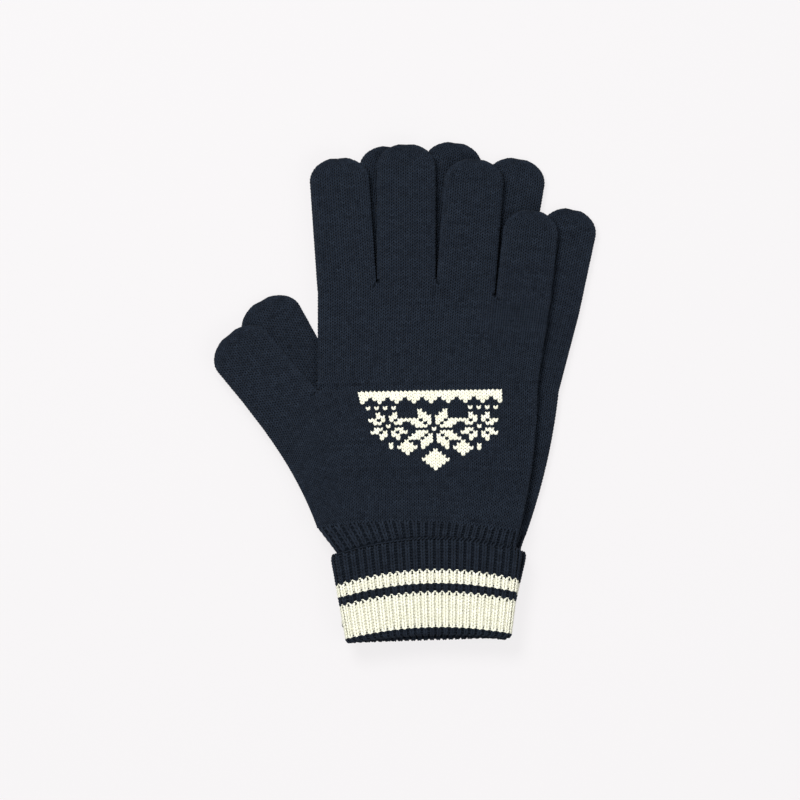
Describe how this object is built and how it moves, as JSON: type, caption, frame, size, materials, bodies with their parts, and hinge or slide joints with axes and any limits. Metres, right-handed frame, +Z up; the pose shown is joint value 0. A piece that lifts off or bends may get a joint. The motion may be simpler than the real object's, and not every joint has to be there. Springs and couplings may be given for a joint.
{
  "type": "pair of knitted gloves",
  "caption": "Pair of knitted gloves lying flat, right glove on left, with ribbed turned-up striped cuffs and a patterned patch on the back of the hand.",
  "frame": {"origin": "middle of the rectangle that the pair covers, on the surface it lies on", "axes": "+Y towards the fingertips, +Z up out of the surface it lies on, +X to the right"},
  "size_m": [0.1718, 0.2258, 0.0214],
  "materials": {
    "navy_knit": "plain stocking stitch in navy yarn, matt, slightly fuzzy",
    "navy_rib": "one-by-one rib in navy yarn, matt",
    "cream_yarn": "cream yarn, rib on the cuff stripes and stocking stitch in the patch, matt"
  },
  "bodies": {
    "left_glove": {"left_hand": "navy_knit", "left_motif": "cream_yarn", "left_cuff_rib": "navy_rib", "left_cuff_fold_band": "navy_rib", "left_cuff_wide_stripe": "cream_yarn", "left_cuff_middle_band": "navy_rib", "left_cuff_thin_stripe": "cream_yarn", "left_cuff_top_band": "navy_rib", "left_cuff_edge": "navy_rib"},
    "left_index_finger_stall": {"left_index_finger": "navy_knit"},
    "left_middle_finger_stall": {"left_middle_finger": "navy_knit"},
    "left_ring_finger_stall": {"left_ring_finger": "navy_knit"},
    "left_little_finger_stall": {"left_little_finger": "navy_knit"},
    "left_thumb_stall": {"left_thumb": "navy_knit"},
    "right_glove": {"right_hand": "navy_knit", "right_motif": "cream_yarn", "right_cuff_rib": "navy_rib", "right_cuff_fold_band": "navy_rib", "right_cuff_wide_stripe": "cream_yarn", "right_cuff_middle_band": "navy_rib", "right_cuff_thin_stripe": "cream_yarn", "right_cuff_top_band": "navy_rib", "right_cuff_edge": "navy_rib"},
    "right_index_finger_stall": {"right_index_finger": "navy_knit"},
    "right_middle_finger_stall": {"right_middle_finger": "navy_knit"},
    "right_ring_finger_stall": {"right_ring_finger": "navy_knit"},
    "right_little_finger_stall": {"right_little_finger": "navy_knit"},
    "right_thumb_stall": {"right_thumb": "navy_knit"}
  },
  "joints": [
    {"name": "right_glove_lift", "type": "slide", "parent": "left_glove", "child": "right_glove", "axis": [0, 0, 1], "range_m": [0, 0.1]},
    {"name": "right_index_finger_fold", "type": "hinge", "parent": "right_glove", "child": "right_index_finger_stall", "pos_m": [-0.02608, 0.0469, 0.0146], "axis": [0.9976, 0.0698, 0], "range_deg": [0, 100]},
    {"name": "right_middle_finger_fold", "type": "hinge", "parent": "right_glove", "child": "right_middle_finger_stall", "pos_m": [0.00062, 0.0515, 0.0146], "axis": [1, 0, 0], "range_deg": [0, 100]},
    {"name": "right_ring_finger_fold", "type": "hinge", "parent": "right_glove", "child": "right_ring_finger_stall", "pos_m": [0.02722, 0.046, 0.0146], "axis": [0.9969, -0.0785, 0], "range_deg": [0, 100]},
    {"name": "right_little_finger_fold", "type": "hinge", "parent": "right_glove", "child": "right_little_finger_stall", "pos_m": [0.05302, 0.0406, 0.0146], "axis": [0.994, -0.1097, 0], "range_deg": [0, 100]},
    {"name": "right_thumb_fold", "type": "hinge", "parent": "right_glove", "child": "right_thumb_stall", "pos_m": [-0.05111, -0.00827, 0.0146], "axis": [0.7716, 0.6361, 0], "range_deg": [0, 100]},
    {"name": "left_index_finger_swing", "type": "hinge", "parent": "left_glove", "child": "left_index_finger_stall", "pos_m": [-0.0117, 0.05264, 0.00355], "axis": [0, 0, 1], "range_deg": [-1.5, 3]},
    {"name": "left_middle_finger_swing", "type": "hinge", "parent": "left_glove", "child": "left_middle_finger_stall", "pos_m": [0.01533, 0.05452, 0.00355], "axis": [0, 0, 1], "range_deg": [-1.5, 1.5]},
    {"name": "left_ring_finger_swing", "type": "hinge", "parent": "left_glove", "child": "left_ring_finger_stall", "pos_m": [0.04124, 0.04636, 0.00355], "axis": [0, 0, 1], "range_deg": [-1.5, 1.5]},
    {"name": "left_little_finger_swing", "type": "hinge", "parent": "left_glove", "child": "left_little_finger_stall", "pos_m": [0.06636, 0.03838, 0.00355], "axis": [0, 0, 1], "range_deg": [-3, 1.5]},
    {"name": "left_thumb_swing", "type": "hinge", "parent": "left_glove", "child": "left_thumb_stall", "pos_m": [-0.04285, 0.0014, 0.00355], "axis": [0, 0, 1], "range_deg": [0, 3]}
  ]
}
